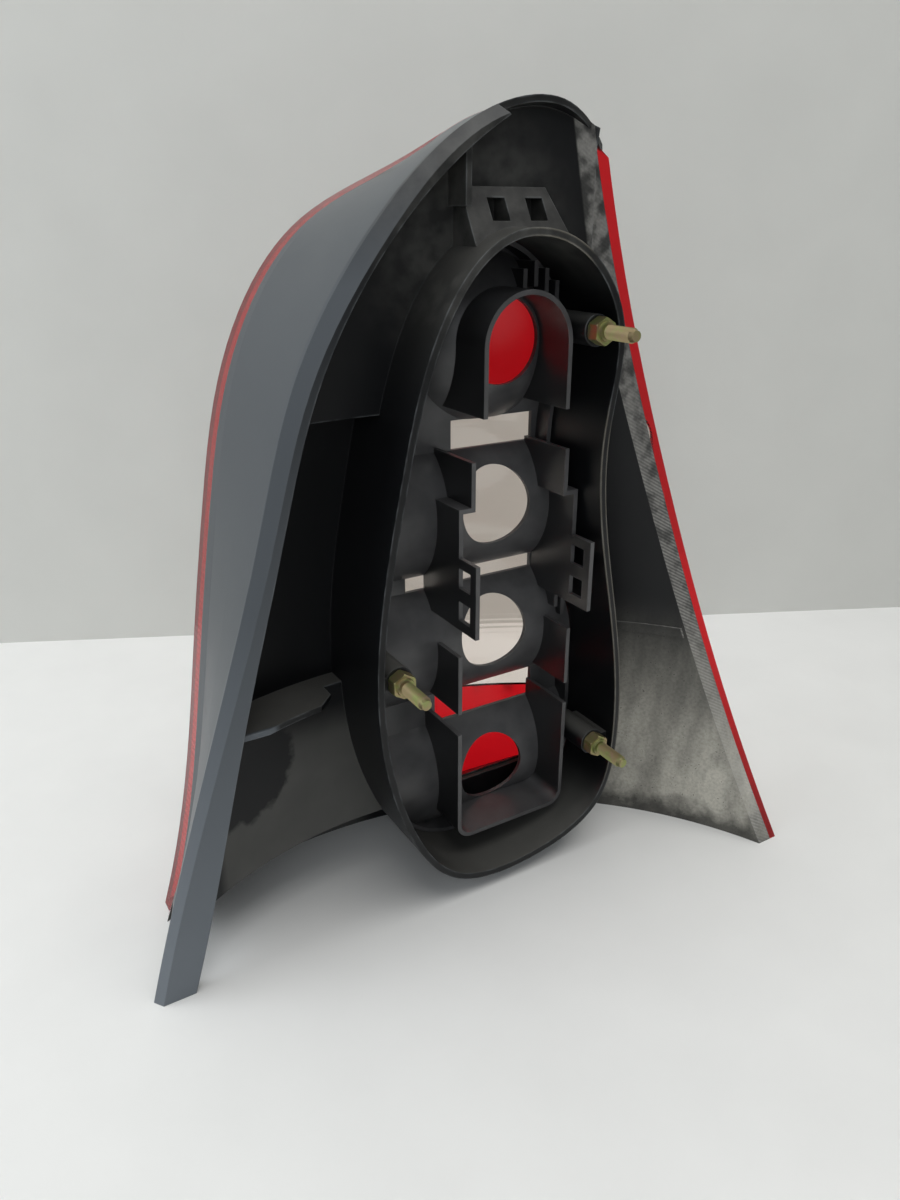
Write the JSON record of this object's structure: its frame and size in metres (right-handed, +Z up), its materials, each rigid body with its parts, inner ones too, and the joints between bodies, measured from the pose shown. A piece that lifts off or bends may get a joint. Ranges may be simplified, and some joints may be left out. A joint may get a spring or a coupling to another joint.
{
  "type": "tail light cluster",
  "caption": "Corner tail lamp: curved red and clear lens on a black moulded housing with a proud mounting pan, inner reflector with bulb holes, side flange and threaded fixing studs.",
  "frame": {"origin": "middle of the bounding box, at the height of the lowest edge on which the lamp stands", "axes": "+Z up as the lamp stands in the picture and on the car, +Y from the mounting side towards the lens, +X to the right seen from the mounting side"},
  "size_m": [0.3087, 0.1365, 0.342],
  "materials": {
    "housing_plastic": "black moulded ABS, satin, dusty",
    "reflector_plastic": "black moulded plastic, semi-gloss on the mounting side",
    "lens_red": "red acrylic, polished outside",
    "lens_clear": "clear acrylic, polished outside",
    "stud_steel": "yellow-passivated zinc plate"
  },
  "bodies": {
    "root": {"housing": "housing_plastic", "reflector": "reflector_plastic", "lens_red": "lens_red", "lens_clear": "lens_clear", "stud_upper": "stud_steel", "stud_left": "stud_steel", "stud_lower": "stud_steel"}
  },
  "joints": []
}
